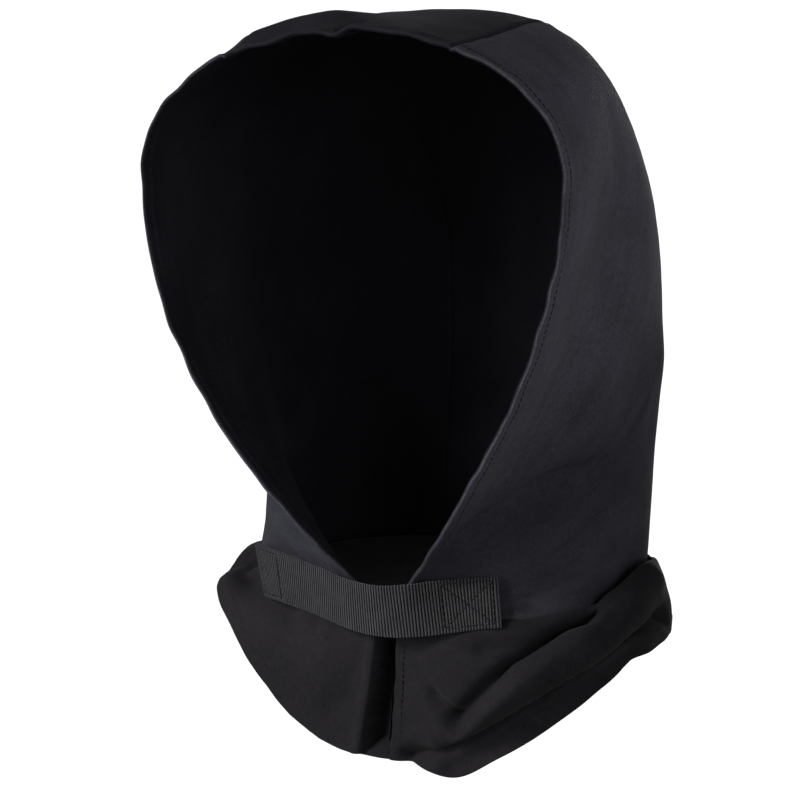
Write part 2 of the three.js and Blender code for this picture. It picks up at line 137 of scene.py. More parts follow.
# Bib lines run in angle round the seam and share of the way from the seam to the hem
ROLL_VALLEY = [(66, 0.12), (60, 0.18), (54, 0.24), (47, 0.29), (40, 0.345), (33, 0.48), (26, 0.62)]
HEM_GROOVE = [
    (94, 0.78), (82, 0.69), (71, 0.61), (57, 0.615), (43, 0.675), (35, 0.715), (26, 0.77), (11, 0.955),
]
BIB_FOLDS = [
    (ROLL_VALLEY, -8, 4.5),
    ([(66, 0.22), (57, 0.33), (48, 0.4), (41, 0.46), (34, 0.58), (27, 0.71)], 4, 4.5),
    ([(92, 0.45), (73, 0.4), (57, 0.46), (43, 0.55), (22, 0.82)], 4, 9),
    (HEM_GROOVE, -8, 4.5),
    ([(76, 0.9), (71, 0.86), (57, 0.83), (43, 0.86), (35, 0.88), (25, 0.91)], -6, 8),
    ([(33, 0.2), (46, 0.21), (62, 0.18)], -2.2, 4),
    ([(19, 0.5), (22.5, 0.54), (25.5, 0.6)], -5, 4),
    ([(288, 0.35), (298, 0.38), (309, 0.36), (321, 0.31), (335, 0.25)], -4, 5.5),
    ([(298, 0.22), (306, 0.2), (314, 0.2), (322, 0.2)], -4, 6),
    ([(350, 0.5), (342, 0.8)], -2, 8),
]

# Where the roll of the bib laps over its valley and over the band below it: line, how far the cloth slides
# toward the hem (minus toward the seam), how far below the line, and over what width
BIB_LAPS = [(ROLL_VALLEY, -4, 4, 3), (HEM_GROOVE, 3.5, -4, 3)]

# Strap sections: x, y, z, lean
STRAP_PATH = np.array([
    [-82, -36.6, -272.4, 2],
    [-70, -42.4, -272.8, 2],
    [-58, -46.4, -273.4, 0],
    [-37, -51.5, -275.5, -4],
    [-10, -59, -278.5, -6],
    [9, -61, -278.4, -4],
    [22, -57.2, -277, 4],
    [31, -50.5, -276, 18],
    [41, -43.5, -275, 29],
    [56, -35.5, -273.5, 34],
])

# Creases that only the finer mesh carries, with lines, heights and widths like the folds
HOOD_CREASES = [
    ([(112, 1.84), (160, 1.75), (228, 1.62), (246, 1.57)], -1.6, 3.6),
    ([(246, 1.6), (262, 1.53), (256, 1.42)], -0.9, 4.5),
    ([(385, 1.71), (340, 1.62), (316, 1.56)], -1, 4),
]

# Edges and seams of the hood: the step of the hem, its stitching, the lap of neighbouring panels, the dip and
# the ridge along a seam, and the puckers that the stitching draws up
HEM_STEP = {"rise": 0.45, "before": 0.5, "after": 0.4}
HEM_STITCH = {"inset": 5.2, "groove": 0.5, "width": 0.7}
SEAM_LAP = 0.3
SEAM_DIP = {"depth": 0.9, "width": 1.1, "ridge": 0.3, "ridge_at": 3.2, "ridge_width": 1.6}
PUCKER = {"hem_width": 11, "seam_width": 9, "seam_share": 0.7, "height": 0.5, "size": 15, "seed": 11}

# Edges of the bib: how far its sewn edge goes up and in under the hood, and the step of its hem
BIB_LAP = {"rise": 1.1, "tuck": 3, "width": 2.2}
BIB_HEM = {"rise": 0.3, "start": 7.5, "end": 8.5}

# Unevenness of the cloth: height, size and seed of its waves
HOOD_WAVES = [(0.4, 60, 3), (0.13, 17, 5)]
BIB_WAVES = [(0.5, 30, 17), (0.2, 10, 19)]

# Webbing and stitches; the boxes of stitching on the strap are measured from its own ends
WEB_RIB = {"pitch": 1.5, "height": 0.45, "points": 6, "fullness": 0.8, "scallop": 0.012}
STITCH = {"length": 2.3, "pitch": 3.0, "radius": 0.3}
SEWN = {"groove": 0.4, "width": 0.7, "inset": 2, "from_end": 3, "crossed_to": 27, "plain_to": 20}
PLEAT_STITCH = {"beside": 3.8, "top": 0.03, "bottom": 0.97}

# Threads of the cloths, one turn of the sewing thread's plies, and the height of the finest relief
HOOD_THREAD, BIB_THREAD, PLY = 0.55, 0.45, 0.35
BUMP = {"cloth": 0.12, "webbing": 0.1, "thread": 0.05}

# Noise cells in each metre of cloth; a pair is for the two directions of the flat cloth
CELLS = {
    "slub": (260, 2000), "mottle": 38, "rubbed": 11,
    "webbing": (2600, 500), "worn": 120, "thread": 90,
}

# Painted highlight streaks run down the fan of a side panel: noise cells in each radian and in each metre
STREAK = {"turn": 22, "reach": 12}

# The neck folds lie along a slope that rises to the back; painted light lightens the cloth from the low to
# the high level
NECK_FOLD = {"slope": 0.7, "low": -215, "high": -140}

# Mesh steps: close ones at an edge, those through the face hem, and how many there are elsewhere
EDGE_STEPS = np.array([0, 0.2, 0.45, 0.75, 1.2, 1.8, 2.6])
HEM_ROWS = {"edge_end": 2.4, "start": 3, "step": 0.45, "end": 8.5}
GRID = {
    "hood_rows": 150, "side_columns": 105, "crown_columns": 46,
    "bib_rows": 52, "strap_columns": 24, "strap_path": 400,
}

# Angles of the bib's sections, closer together where it is folded: from, to, step
BIB_ZONES = [(-11, 11, 0.3), (11, 125, 0.8), (125, 240, 2), (240, 349, 0.8)]

# Small steps along the surfaces, to find their directions
NORMAL_STEP = {"along": 1.5, "across": 0.02, "angle": 0.8, "share": 0.02}


# Curves and surfaces

def unit(vectors):
    """Vectors at length 1; one of no length stays at zero."""
    tiny = 1e-12
    return vectors / np.maximum(np.linalg.norm(vectors, axis=-1, keepdims=True), tiny)


def smoothstep(x, low, high):
    """0 up to low, 1 from high on, and a smooth rise between them."""
    t = np.clip((x - low) / (high - low), 0, 1)
    return t * t * (3 - 2 * t)


def bell(distance, width):
    """1 at no distance, dying away smoothly over about the width."""
    return np.exp(-((distance / width) ** 2))


def cubic(table, at):
    """Smooth cubic through the rows of a table, whose first column is the key."""
    keys, values = table[:, 0], table[:, 1:]
    at = np.clip(np.atleast_1d(np.asarray(at, float)), keys[0], keys[-1])
    spans = np.diff(keys)[:, None]
    slopes = np.diff(values, axis=0) / spans
    tangents = np.vstack([slopes[:1], slopes[-1:]]).repeat([1, len(keys) - 1], axis=0)
    tangents[1:-1] = (slopes[:-1] * spans[1:] + slopes[1:] * spans[:-1]) / (spans[:-1] + spans[1:])
    low = np.clip(np.searchsorted(keys, at, side="right") - 1, 0, len(keys) - 2)
    span = spans[low]
    t = (at[:, None] - keys[low, None]) / span
    rest = 1 - t
    start = values[low] * (1 + 2 * t) + tangents[low] * span * t
    end = values[low + 1] * (3 - 2 * t) - tangents[low + 1] * span * rest
    return start * rest**2 + end * t**2


def running_length(points, axis=0):
    """Length along a line of points up to each of them."""
    steps = np.linalg.norm(np.diff(points, axis=axis), axis=-1)
    return np.insert(np.cumsum(steps, axis=axis), 0, 0, axis=axis)


def at_lengths(points, lengths, at):
    """Places on a line of points at some lengths along it."""
    return np.stack([np.interp(at, lengths, points[:, k]) for k in range(points.shape[1])], axis=-1)


def distance_to(path, points):
    """Distance of each point from a path of straight runs."""
    nearest = np.full(points.shape[:-1], np.inf)
    for start, end in zip(path[:-1], path[1:]):
        run = end - start
        share = np.clip((points - start) @ run / (run @ run), 0, 1)
        away = points - start - share[..., None] * run
        nearest = np.minimum(nearest, np.linalg.norm(away, axis=-1))
    return nearest


def arch(along):
    """Left half of one arch from the middle line to the throat, with its running length.
    The last value is half the width of the gusset there."""
    steps = 60
    mid_y, mid_z, half, widest, crown, cheek, tuck, gusset = cubic(ARCHES, along)[0]
    foot_z = THROAT["z"] + THROAT["height"] * (1 - along / NECK_SEAM)
    turn = np.linspace(np.pi / 2, 0, steps + 1)
    rise = np.linspace(1, 0, steps + 1)[1:]
    upper_x = half * np.clip(np.cos(turn), 0, None) ** (2 / crown)
    upper_q = widest + (1 - widest) * np.sin(turn) ** (2 / crown)
    lower_x = THROAT["x"] + (half - THROAT["x"]) * np.sin(np.pi / 2 * rise) ** cheek
    x = np.concatenate([upper_x, lower_x])
    q = np.concatenate([upper_q, widest * rise])
    y = THROAT["y"] + q * (mid_y - THROAT["y"]) + tuck * TUCK_PEAK * q * (1 - q) ** 2
    z = foot_z + q * (mid_z - foot_z)
    points = np.stack([x, y, z], axis=-1)
    return points, running_length(points), gusset


def hood_reach(across, lengths, gusset):
    """Distance from the middle line for a place across: the gusset is 0 to 1 and the side panel 1 to 2."""
    side = np.clip(np.abs(across), 0, 2)
    return np.where(side <= 1, side * gusset, gusset + (side - 1) * (lengths[-1] - gusset))


def across_at(reach, lengths, gusset):
    """The place across for a signed distance from the middle line: the other way round from hood_reach."""
    far = np.abs(reach)
    side = np.where(far <= gusset, far / gusset, 1 + (far - gusset) / (lengths[-1] - gusset))
    return np.copysign(side, reach)


def hood_base(along, across):
    """The smooth hood: one row of points for each along, at that row's places across."""
    rows = []
    for place, row in zip(np.clip(along, 0, NECK_SEAM), across):
        points, lengths, gusset = arch(place)
        line = at_lengths(points, lengths, hood_reach(row, lengths, gusset))
        line[row < 0, 0] *= -1
        rows.append(line)
    return np.array(rows)


def surface_normal(base, u, v, step_u, step_v):
    """Outward directions of a smooth surface, from small steps to both sides."""
    along_u = base(u + step_u, v) - base(u - step_u, v)
    along_v = base(u, v + step_v) - base(u, v - step_v)
    return unit(np.cross(along_v, along_u))


def grid_normals(grid, ring=False):
    """Outward directions of a grid of points; the rows of a ring close on themselves."""
    if ring:
        grid = np.concatenate([grid[-1:], grid, grid[:1]])
    normals = unit(np.cross(np.gradient(grid, axis=1), np.gradient(grid, axis=0)))
    return normals[1:-1] if ring else normals


def fold_lift(folds, base, points):
    """How far the folds lift each point of the smooth cloth."""
    steps = 6
    lift = np.zeros(points.shape[:-1])
    for line, height, width in folds:
        corners = np.array(line, float)
        keys = np.arange(len(corners))
        fine = at_lengths(corners, keys, np.linspace(0, keys[-1], steps * keys[-1] + 1))
        path = base(fine[:, 0], fine[:, 1:])[:, 0]
        lift += height * bell(distance_to(path, points), width)
    return lift


def hood_surface(along, across):
    """The hood with its folds."""
    base = hood_base(along, across)
    normal = surface_normal(hood_base, along, across, NORMAL_STEP["along"], NORMAL_STEP["across"])
    return base + normal * fold_lift(HOOD_FOLDS, hood_base, base)[..., None]


def neck_ring():
    """Neck seam as a closed ring from the front centre over the wearer's left, with its length.
    The outward directions are level, and smoothed in several passes."""
    count, seam_steps, reach, passes = 720, 160, 9, 40
    forward = 1
    across = np.linspace(2, -2, 2 * seam_steps + 1)
    seam = hood_surface(np.array([NECK_SEAM]), across[None])[0]
    front = np.array([[0, THROAT["y"] - forward, THROAT["z"]]])
    loop = np.concatenate([front, seam, front])
    lengths = running_length(loop)
    points = at_lengths(loop, lengths, np.arange(count) * lengths[-1] / count)
    run = np.roll(points, -reach, axis=0) - np.roll(points, reach, axis=0)
    outward = unit(np.stack([run[:, 1], -run[:, 0], 0 * run[:, 0]], axis=-1))
    for _ in range(passes):
        outward = unit(2 * outward + np.roll(outward, 1, axis=0) + np.roll(outward, -1, axis=0))
    return points, outward, lengths[-1]


RING_POINTS, RING_OUTWARD, RING_LENGTH = neck_ring()


def on_ring(values, angle):
    """Values of the neck ring at each angle."""
    count = len(values)
    closed = np.concatenate([values, values[:1]])
    return at_lengths(closed, np.arange(count + 1), np.mod(angle, 360) / 360 * count)


def bib_section(angle):
    """One section of the bib as distances outward and down from the seam, with its running length."""
    steps = 40
    crest_out, crest_rise, belly_out, belly_drop, hem_out, hem_drop = cubic(BIB, np.mod(angle, 360))[0]
    corners = np.array([
        [SEAM_GAP, SEAM_GAP],
        [crest_out, SEAM_GAP - crest_rise],
        [belly_out, belly_drop],
        [hem_out, hem_drop],
    ])
    gaps = np.sqrt(np.linalg.norm(np.diff(corners, axis=0), axis=1))
    keys = np.insert(np.cumsum(gaps), 0, 0)
    points = cubic(np.column_stack([keys, corners]), np.linspace(0, keys[-1], steps + 1))
    return points, running_length(points)


def bib_lengths(angle):
    """Length of the bib from the seam to the hem at each angle, as a column."""
    return np.array([bib_section(turn)[1][-1] for turn in angle])[:, None]


def bib_base(angle, share):
    """The smooth bib: one row of points for each angle, at that row's shares of the way to the hem."""
    places = on_ring(RING_POINTS, angle)
    outward = unit(on_ring(RING_OUTWARD, angle))
    rows = []
    for turn, place, out, row in zip(angle, places, outward, np.clip(share, 0, 1)):
        points, lengths = bib_section(turn)
        offset = at_lengths(points, lengths, row * lengths[-1])
        rows.append(place + offset[:, :1] * out - offset[:, 1:] * np.array([0, 0, 1]))
    return np.array(rows)


def pleat_lift(angle, share):
    """Depth of the inverted pleat, shallow at the seam and closed again at the hem."""
    turned = np.where(angle > 180, angle - 360, angle)[:, None]
    run = turned / 360 * RING_LENGTH
    left = PLEAT["left_top"] + (PLEAT["left_hem"] - PLEAT["left_top"]) * share
    right = PLEAT["right_top"] + (PLEAT["right_hem"] - PLEAT["right_top"]) * share
    inside = smoothstep(run - right, 0, PLEAT["wall"]) * smoothstep(left - run, 0, PLEAT["wall"])
    from_seam = PLEAT["at_seam"] + PLEAT["opens"] * share
    from_hem = PLEAT["at_hem"] + PLEAT["closes"] * (1 - share)
    deep = np.minimum(1, np.minimum(from_seam, from_hem))
    roll = PLEAT["roll"] * bell(run - right + PLEAT["roll_beside"], PLEAT["roll_width"])
    return roll - PLEAT["depth"] * inside * deep


def lap_slide(angle, share):
    """How far the rolled cloth slides toward the hem, where it laps over the cloth beside it."""
    fade = 12
    length = bib_lengths(angle)
    slide = np.zeros(share.shape)
    for line, reach, below, width in BIB_LAPS:
        ends, shares = np.array(sorted(line), float).T
        distance = (share - np.interp(angle, ends, shares)[:, None]) * length
        inside = smoothstep(angle, ends[0], ends[0] + fade) * smoothstep(-angle, -ends[-1], fade - ends[-1])
        slide += reach * inside[:, None] * bell(distance - below, width)
    return slide


def bib_surface(angle, share):
    """The bib with its folds, its pleat and the laps of its roll."""
    base = bib_base(angle, share)
    step = NORMAL_STEP["share"]
    normal = surface_normal(bib_base, angle, share, NORMAL_STEP["angle"], step)
    down = unit(bib_base(angle, share + step) - bib_base(angle, share - step))
    free = smoothstep(share, 0, SEAM_HOLD)
    lift = fold_lift(BIB_FOLDS, bib_base, base) * free + pleat_lift(angle, share)
    slide = lap_slide(angle, share) * free
    return base + normal * lift[..., None] + down * slide[..., None]


def undulation(points, size, seed):
    """Gentle unevenness of cloth, from -1 to 1: crossing waves about size long, the same on every run."""
    waves, shortest, longest = 7, 0.7, 1.5
    draw = np.random.default_rng(seed)
    directions = unit(draw.normal(size=(waves, 3)))
    lengths = size * draw.uniform(shortest, longest, waves)
    phases = draw.uniform(0, 2 * np.pi, waves)
    turns = 2 * np.pi * (points @ directions.T) / lengths + phases
    return np.sin(turns).sum(axis=-1) / np.sqrt(2 * waves)


def unevenness(points, waves):
    """Waves of several sizes added up: rows of height, size and seed."""
    return sum(height * undulation(points, size, seed) for height, size, seed in waves)


# Meshes

def mesh_object(name, points, faces, uvs, *materials):
    """A smooth object from points in millimetres; uvs are the corners' places on the flat cloth."""
    mesh = bpy.data.meshes.new(name)
    mesh.from_pydata((points * MM).tolist(), [], faces.tolist())
    layer = mesh.uv_layers.new(name="cloth")
    layer.data.foreach_set("uv", (uvs * MM).astype(np.float32).ravel())
    mesh.polygons.foreach_set("use_smooth", np.ones(len(mesh.polygons), bool))
    for material in materials:
        mesh.materials.append(material)
    piece = bpy.data.objects.new(name, mesh)
    bpy.context.scene.collection.objects.link(piece)
    return piece


def wall_object(name, outer, inner, flat, *materials, ring=False):
    """Closed wall between two grids; a second material, where there is one, is that of the inner face.
    flat holds each point's place on the flat cloth, and a ring's has one more row."""
    rows, columns = outer.shape[:2]
    count = rows * columns
    lines = np.arange(rows if ring else rows - 1)
    i, j = [side.ravel() for side in np.meshgrid(lines, np.arange(columns - 1), indexing="ij")]
    cells = (np.stack([i, i, i + 1, i + 1], 1), np.stack([j, j + 1, j + 1, j], 1))
    last = np.full_like(lines, columns - 1)
    rims = [(lines, last, lines + 1, last), (lines + 1, 0 * lines, lines, 0 * lines)]
    if not ring:
        across = np.arange(columns - 1)
        end = np.full_like(across, rows - 1)
        rims += [(0 * across, across, 0 * across, across + 1), (end, across + 1, end, across)]

    def index(row, column):
        return (row % rows) * columns + column

    front = index(*cells)
    faces = [front, front[:, ::-1] + count]
    uvs = [flat[cells], flat[cells][:, ::-1]]
    for row_a, column_a, row_b, column_b in rims:
        a, b = index(row_a, column_a), index(row_b, column_b)
        uv_a, uv_b = flat[row_a, column_a], flat[row_b, column_b]
        faces.append(np.stack([b, a, a + count, b + count], 1))
        uvs.append(np.stack([uv_b, uv_a, uv_a, uv_b], 1))
    points = np.concatenate([outer.reshape(-1, 3), inner.reshape(-1, 3)])
    piece = mesh_object(name, points, np.concatenate(faces), np.concatenate(uvs), *materials)
    if len(materials) > 1:
        chosen = np.zeros(len(piece.data.polygons), np.int32)
        chosen[len(front):2 * len(front)] = 1
        piece.data.polygons.foreach_set("material_index", chosen)
    return piece


def cut_size(piece):
    """Width, length and area of a wall's flat cut, its UV layout, on which both faces of the wall lie."""
    corners = np.empty(2 * len(piece.data.loops), np.float32)
    piece.data.uv_layers["cloth"].data.foreach_get("uv", corners)
    quads = corners.reshape(-1, 4, 2).astype(float)
    width, length = np.ptp(quads.reshape(-1, 2), axis=0)
    one, other = quads[:, 2] - quads[:, 0], quads[:, 3] - quads[:, 1]
    both_faces = np.abs(one[:, 0] * other[:, 1] - one[:, 1] * other[:, 0]).sum() / 2
    return float(width), float(length), float(both_faces / 2)


def rounded(distance, wall):
    """How far a free edge draws in at a distance from it, so that the two faces meet in a round."""
    round_share = 0.45
    half = round_share * wall
    inset = np.clip(1 - distance / half, 0, 1)
    return half * (1 - np.sqrt(1 - inset**2))


def wall_faces(surface, normal, relief, wall, edge):
    """Outer and inner grid of a wall that lies inward of a surface, rounded by the distance to its edge."""
    drawn_in = rounded(edge, wall)
    outer = surface + normal * (relief - drawn_in)[..., None]
    inner = surface + normal * (relief - wall + drawn_in)[..., None]
    return outer, inner


def fine_edge(total, count, both=True):
    """Distances from 0 to total with close steps at the start, and at the end too, for rounds and hems."""
    reach = EDGE_STEPS[-1]
    middle = np.linspace(reach, total - reach if both else total, count)
    ends = total - EDGE_STEPS[::-1] if both else np.array([])
    return np.concatenate([EDGE_STEPS[:-1], middle, ends[1:]])


HOOD_ROWS = np.concatenate([
    [*EDGE_STEPS[:-1], HEM_ROWS["edge_end"]],
    np.arange(HEM_ROWS["start"], HEM_ROWS["end"], HEM_ROWS["step"]),
    HEM_ROWS["end"] + fine_edge(NECK_SEAM - HEM_ROWS["end"], GRID["hood_rows"])[len(EDGE_STEPS):],
])


def hood_panel(name, across, flat, seam_distance, *materials):
    """One panel of the hood, from each row's places across, and the line of its hem stitching."""
    surface = hood_surface(HOOD_ROWS, across)
    normal = grid_normals(surface)
    from_face = running_length(surface, axis=0)
    from_neck = from_face[-1:] - from_face
    edge = np.minimum(np.minimum(from_face, from_neck), seam_distance)
    hem_width = FACE_HEM["width"]
    hem = 1 - smoothstep(from_face, hem_width - HEM_STEP["before"], hem_width + HEM_STEP["after"])
    wall = HOOD_WALL + (FACE_HEM["wall"] - HOOD_WALL) * hem
    stitched = bell(from_face - HEM_STITCH["inset"], HEM_STITCH["width"])
    relief = HEM_STEP["rise"] * hem - HEM_STITCH["groove"] * stitched
    for distance in (seam_distance, from_neck):
        relief -= SEAM_DIP["depth"] * bell(distance, SEAM_DIP["width"])
        relief += SEAM_DIP["ridge"] * bell(distance - SEAM_DIP["ridge_at"], SEAM_DIP["ridge_width"])
    at_seam = PUCKER["seam_share"] * bell(seam_distance, PUCKER["seam_width"])
    pucker = bell(from_face, PUCKER["hem_width"]) + at_seam
    relief += unevenness(surface, HOOD_WAVES)
    relief += PUCKER["height"] * pucker * undulation(surface, PUCKER["size"], PUCKER["seed"])
    relief += fold_lift(HOOD_CREASES, hood_surface, surface)
    outer, inner = wall_faces(surface, normal, relief, wall, edge)
    piece = wall_object(name, outer, inner, flat, *materials)
    return piece, line_at_distance(outer, normal, from_face, HEM_STITCH["inset"])


def side_panel(name, side, *materials):
    """A side panel: rows fan out from the throat, so its flat cut is a fan too."""
    fan_radius = 300
    across, flat, seam = [], [], []
    for along in HOOD_ROWS:
        _, lengths, gusset = arch(along)
        depth = lengths[-1] - gusset + SEAM_LAP
        down = fine_edge(depth, GRID["side_columns"], both=False)
        turn = (along - NECK_SEAM / 2) / fan_radius
        radius = depth - down
        across.append(across_at(gusset - SEAM_LAP + down, lengths, gusset))
        flat.append(np.stack([radius * np.sin(turn), radius * np.cos(turn)], axis=-1))
        seam.append(down)
    across, flat, seam = np.array(across), np.array(flat), np.array(seam)
    if side < 0:
        across, flat, seam = -across[:, ::-1], flat[:, ::-1], seam[:, ::-1]
    return hood_panel(name, across, flat, seam, *materials)


def crown_panel(name, *materials):
    """The gusset over the crown, whose flat cut is a strip."""
    across, flat, seam = [], [], []
    for along in HOOD_ROWS:
        _, lengths, gusset = arch(along)
        width = 2 * (gusset + SEAM_LAP)
        over = fine_edge(width, GRID["crown_columns"]) - width / 2
        across.append(across_at(over, lengths, gusset))
        flat.append(np.stack([np.full_like(over, along), over], axis=-1))
        seam.append(width / 2 - np.abs(over))
    return hood_panel(name, np.array(across), np.array(flat), np.array(seam), *materials)


def neck_bib(name, material):
    """The bib as a closed ring of cloth, with its sewn edge tucked in under the hood."""
    angle = np.concatenate([np.arange(start, end - step / 2, step) for start, end, step in BIB_ZONES])
    lengths = bib_lengths(angle)
    share = np.array([fine_edge(length, GRID["bib_rows"]) / length for length in lengths[:, 0]])
    from_seam, from_hem = share * lengths, (1 - share) * lengths
    surface = bib_surface(angle, share)
    under = np.array([0, 0, BIB_LAP["rise"]]) - BIB_LAP["tuck"] * unit(on_ring(RING_OUTWARD, angle))
    surface += bell(from_seam, BIB_LAP["width"])[..., None] * under[:, None]
    normal = grid_normals(surface, ring=True)
    relief = BIB_HEM["rise"] * (1 - smoothstep(from_hem, BIB_HEM["start"], BIB_HEM["end"]))
    relief += unevenness(surface, BIB_WAVES)
    outer, inner = wall_faces(surface, normal, relief, BIB_WALL, np.minimum(from_seam, from_hem))
    around = np.append(angle, angle[0] + 360) / 360 * RING_LENGTH
    down = np.vstack([from_seam, from_seam[:1]])
    flat = np.stack([np.broadcast_to(around[:, None], down.shape), down], axis=-1)
    return wall_object(name, outer, inner, flat, material, ring=True)


STRAP_ENDS = STRAP_PATH[[0, -1], 0]


def strap_frame(x):
    """Centre of the strap at each x, with its directions across the width and out of its front face."""
    small = 0.5
    section = cubic(STRAP_PATH, x)
    centre = np.column_stack([np.clip(x, *STRAP_ENDS), section[:, :2]])
    ends = [np.clip(x + way * small, *STRAP_ENDS) for way in (-1, 1)]
    low, high = [np.column_stack([end, cubic(STRAP_PATH, end)[:, :2]]) for end in ends]
    run = unit(high - low)
    up = unit(np.array([0, 0, 1]) - run * run[:, 2:])
    lean = np.radians(section[:, 2:])
    width = up * np.cos(lean) - np.cross(run, up) * np.sin(lean)
    return centre, width, np.cross(run, width)


STRAP_X = np.linspace(*STRAP_ENDS, GRID["strap_path"])
STRAP_RUN = running_length(strap_frame(STRAP_X)[0])


def strap_face(run, height, depth):
    """Points on the strap with the normals of its front face.
    The wearer's right end is cut on the slant, which dies out along the strap."""
    run, height, depth = np.broadcast_arrays(run, height, depth)
    share = run / STRAP_RUN[-1]
    slant = STRAP["slant"] * (0.5 - height / STRAP["width"]) * (1 - share) ** STRAP["slant_fade"]
    centre, width, front = strap_frame((np.interp(run, STRAP_RUN, STRAP_X) + slant).ravel())
    points = centre + width * height.reshape(-1, 1) + front * depth.reshape(-1, 1)
    return points.reshape(*run.shape, 3), front.reshape(*run.shape, 3)


def strap_boxes():
    """Lines of stitching on the strap as (run, height) corners: a box with a cross, and a plain box."""
    top = STRAP["width"] / 2 - SEWN["inset"]
    near, far = STRAP_RUN[-1] - SEWN["crossed_to"], STRAP_RUN[-1] - SEWN["from_end"]
    first, last = SEWN["from_end"], SEWN["plain_to"]
    crossed = [(near, top), (far, top), (far, -top), (near, -top), (near, top)]
    plain = [(first, top), (last, top), (last, -top), (first, -top), (first, top)]
    return [crossed, [(near, top), (far, -top)], [(near, -top), (far, top)], plain]


def sewn_depth(run, height):
    """How deep the stitching pulls the strap in."""
    place = np.stack(np.broadcast_arrays(run, height), axis=-1)
    nearest = np.min([distance_to(np.array(line, float), place) for line in strap_boxes()], axis=0)
    return SEWN["groove"] * bell(nearest, SEWN["width"])


def throat_strap(name, material):
    """The strap of ribbed webbing, pulled in along its stitching."""
    stations = int(STRAP_RUN[-1] / WEB_RIB["pitch"] * WEB_RIB["points"])
    run = np.linspace(0, STRAP_RUN[-1], stations)[:, None]
    half = STRAP["width"] / 2
    height = half - fine_edge(STRAP["width"], GRID["strap_columns"])[None]
    rib = np.abs(np.sin(np.pi * run / WEB_RIB["pitch"])) ** WEB_RIB["fullness"]
    edge = np.minimum(half - np.abs(height), np.minimum(run, STRAP_RUN[-1] - run))
    thick = STRAP["thickness"] / 2 - WEB_RIB["height"] * (1 - rib) - rounded(edge, STRAP["thickness"])
    across = height * (1 + WEB_RIB["scallop"] * (rib - 0.5))
    outer = strap_face(run, across, thick - sewn_depth(run, height))[0]
    inner = strap_face(run, across, -thick)[0]
    flat = np.stack(np.broadcast_arrays(run, height), axis=-1)
    return wall_object(name, outer, inner, flat, material)


# Stitches

def thread_template():
    """One short thread with pinched, sunk ends.
    Its points are (along, side, up), in rings that have a place along the thread and a girth.
    Quads join the rings and close the ends."""
    sides, rise = 6, 1.5
    rings = [(-0.5, 0.35), (-0.36, 1), (0.36, 1), (0.5, 0.35)]
    points = []
    for along, girth in rings:
        radius = STITCH["radius"] * girth
        lift = STITCH["radius"] * (rise * girth - 1)
        for side in range(sides):
            turn = 2 * math.pi * side / sides
            points.append((along * STITCH["length"], radius * math.cos(turn), radius * math.sin(turn) + lift))
    quads = []
    last = (len(rings) - 1) * sides
    for ring in range(0, last, sides):
        for side in range(sides):
            after = (side + 1) % sides
            quads.append((ring + side, ring + after, ring + sides + after, ring + sides + side))
    quads += [(0, 3, 2, 1), (0, 5, 4, 3)]
    quads += [(last, last + 1, last + 2, last + 3), (last, last + 3, last + 4, last + 5)]
    return np.array(points), np.array(quads)


def stitch_object(name, runs, material):
    """Rows of short threads: each run is a line of points on the cloth with the cloth's normals there."""
    small = 0.5
    template, quads = thread_template()
    points, faces, flat = [], [], []
    for line, normals in runs:
        lengths = running_length(line)
        count = max(int(round(lengths[-1] / STITCH["pitch"])), 1)
        at = (np.arange(count) + 0.5) * lengths[-1] / count
        centre = at_lengths(line, lengths, at)
        tangent = unit(at_lengths(line, lengths, at + small) - at_lengths(line, lengths, at - small))
        side = unit(np.cross(unit(at_lengths(normals, lengths, at)), tangent))
        axes = np.stack([tangent, side, np.cross(tangent, side)], axis=1)
        block = centre[:, None] + template @ axes
        first = sum(len(part) for part in points)
        starts = first + np.arange(count) * len(template)
        points.append(block.reshape(-1, 3))
        faces.append((starts[:, None, None] + quads).reshape(-1, 4))
        corner = template[quads][..., :2] + at[:, None, None, None] * np.array([1, 0])
        flat.append(corner.reshape(-1, 4, 2))
    return mesh_object(name, np.concatenate(points), np.concatenate(faces), np.concatenate(flat), material)


def line_at_distance(points, normals, distance, at):
    """The line on a panel that keeps a set distance from the face edge, one point for each column."""
    columns = range(points.shape[1])
    line = np.array([at_lengths(points[:, k], distance[:, k], at) for k in columns])
    return line, np.array([at_lengths(normals[:, k], distance[:, k], at) for k in columns])


def strap_line(corners):
    """A line of stitching on the front of the strap through corners given as (run, height)."""
    steps = 40
    keys = np.arange(len(corners))
    fine = np.linspace(0, keys[-1], steps * keys[-1] + 1)
    run, height = at_lengths(np.array(corners, float), keys, fine).T
    return strap_face(run, height, STRAP["thickness"] / 2 - SEWN["groove"])


def pleat_line():
    """The line of stitching beside the crisp edge of the pleat."""
    small, count = 0.5, 60
    angle = (PLEAT["left_top"] + PLEAT_STITCH["beside"]) / RING_LENGTH * 360
    strip = np.array([angle - small, angle, angle + small])
    down = np.linspace(PLEAT_STITCH["top"], PLEAT_STITCH["bottom"], count)
    surface = bib_surface(strip, np.tile(down, (3, 1)))
    return surface[1], grid_normals(surface)[1]


# Materials

COOL_SHEEN, WARM_SHEEN, PALE_SHEEN = (0.7, 0.72, 0.8), (0.75, 0.7, 0.72), (0.8, 0.8, 0.85)


